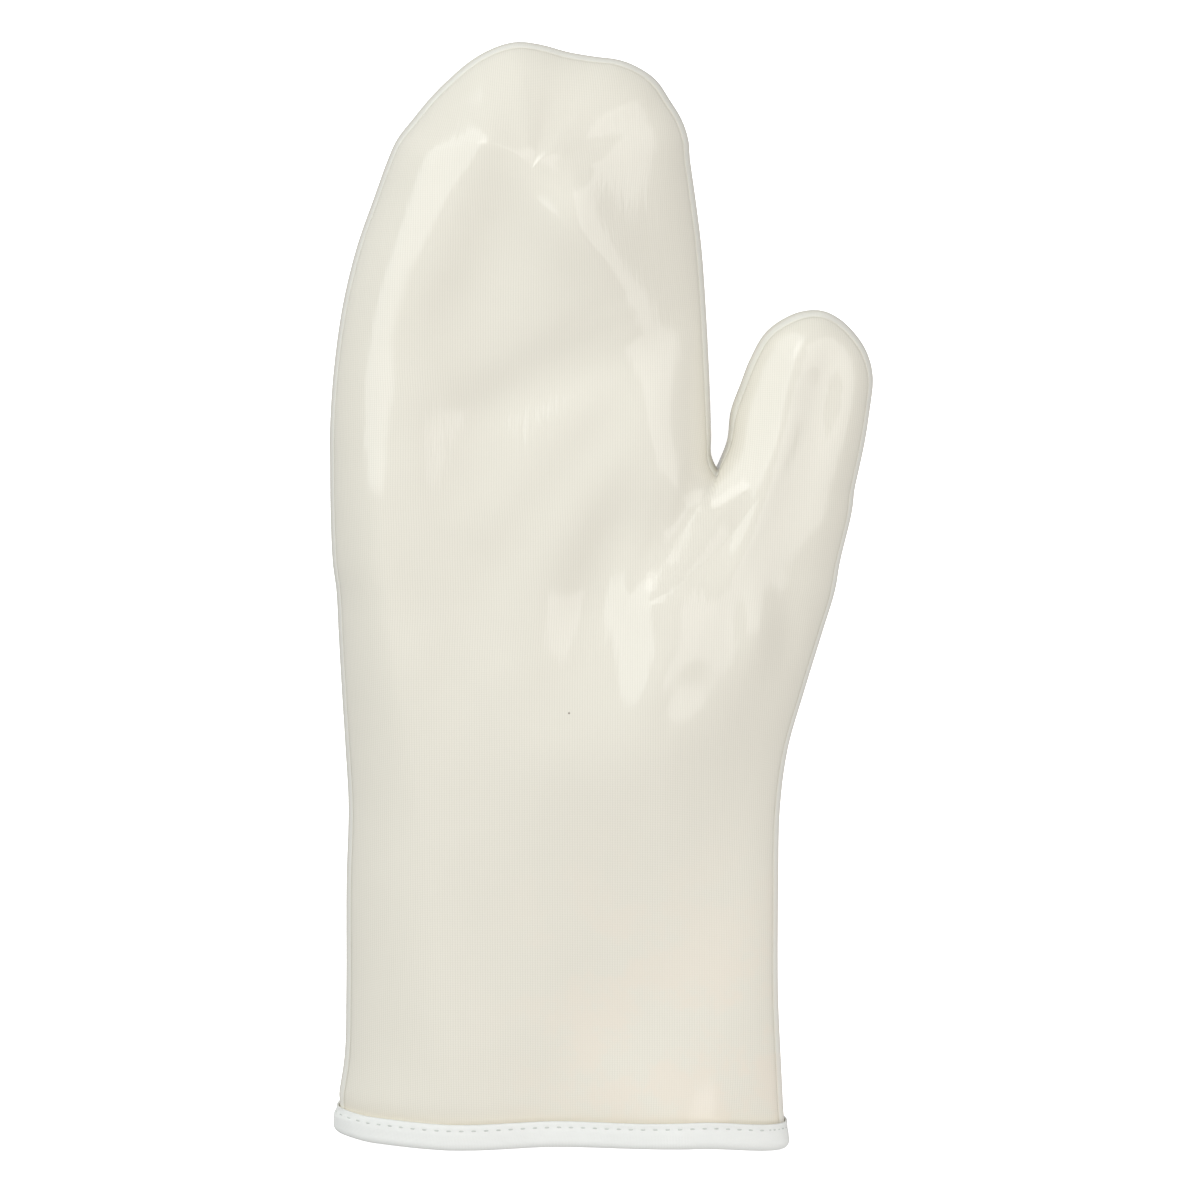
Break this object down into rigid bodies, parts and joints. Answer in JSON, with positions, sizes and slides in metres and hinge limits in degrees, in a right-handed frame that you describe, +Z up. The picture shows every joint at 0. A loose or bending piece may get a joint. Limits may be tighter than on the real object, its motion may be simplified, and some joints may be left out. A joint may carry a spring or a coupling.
{
  "type": "silicone heat-resistant mitt",
  "caption": "Long heat-resistant mitt with a separate thumb, sewn from coated knit panels, its open cuff bound with tape, lying on its back.",
  "frame": {"origin": "on the table, below the middle of the lying mitt's bounding box", "axes": "+Z up out of the palm, +Y from the cuff to the fingertips, +X to the thumb's side"},
  "size_m": [0.1852, 0.3788, 0.0526],
  "materials": {
    "coated_knit": "clear glossy silicone over a fine cream knit",
    "binding_tape": "matte white woven tape"
  },
  "bodies": {
    "root": {"palm_panel": "coated_knit", "back_panel": "coated_knit", "cuff_binding": "binding_tape"}
  },
  "joints": []
}
